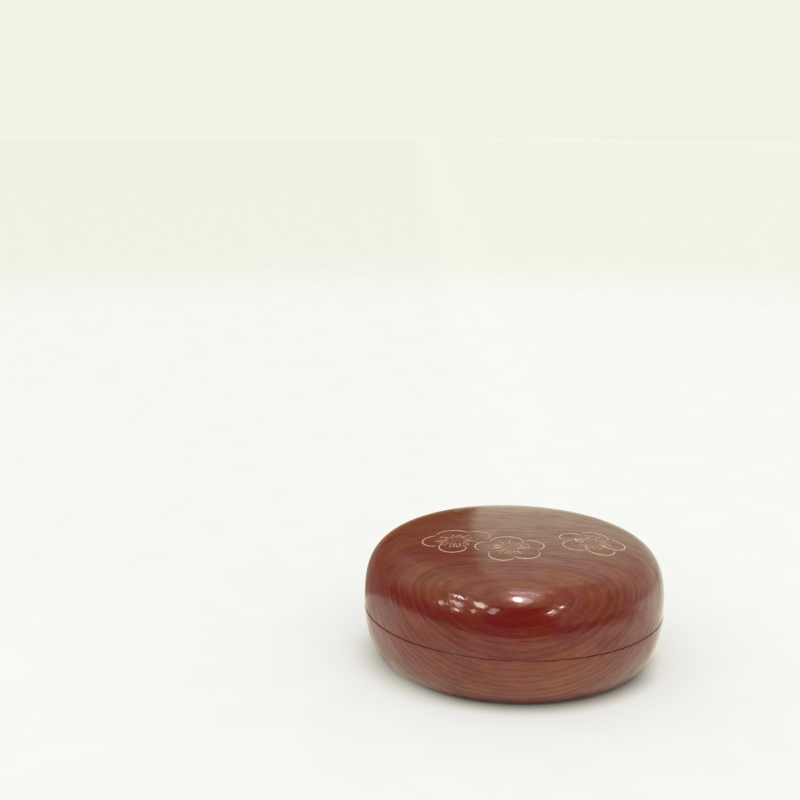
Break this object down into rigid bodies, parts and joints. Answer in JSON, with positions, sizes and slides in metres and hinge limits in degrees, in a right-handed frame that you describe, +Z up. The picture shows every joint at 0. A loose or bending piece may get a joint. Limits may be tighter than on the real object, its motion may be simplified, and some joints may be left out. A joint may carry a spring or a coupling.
{
  "type": "incense box",
  "caption": "Round turned wooden incense box in glossy red lacquer: a shallow bowl with an inner lip, and a flat-topped lid that lifts off.",
  "frame": {"origin": "middle of the underside, on the surface that the box stands on", "axes": "+Z up along the turning axis, -Y towards the front, which is the side of the lid with the blossoms, +X to the viewer's right"},
  "size_m": [0.077, 0.077, 0.0325],
  "materials": {
    "base_lacquer": "glossy transparent red-brown lacquer over fine wood grain",
    "lid_lacquer": "glossy transparent red lacquer over fine wood grain",
    "gold_lines": "gold powder sprinkled on lacquer, drawn as fine blossom outlines on the lid's top; colour only, so no solid wears it"
  },
  "bodies": {
    "root": {"base": "base_lacquer", "lid": "lid_lacquer"}
  },
  "joints": []
}
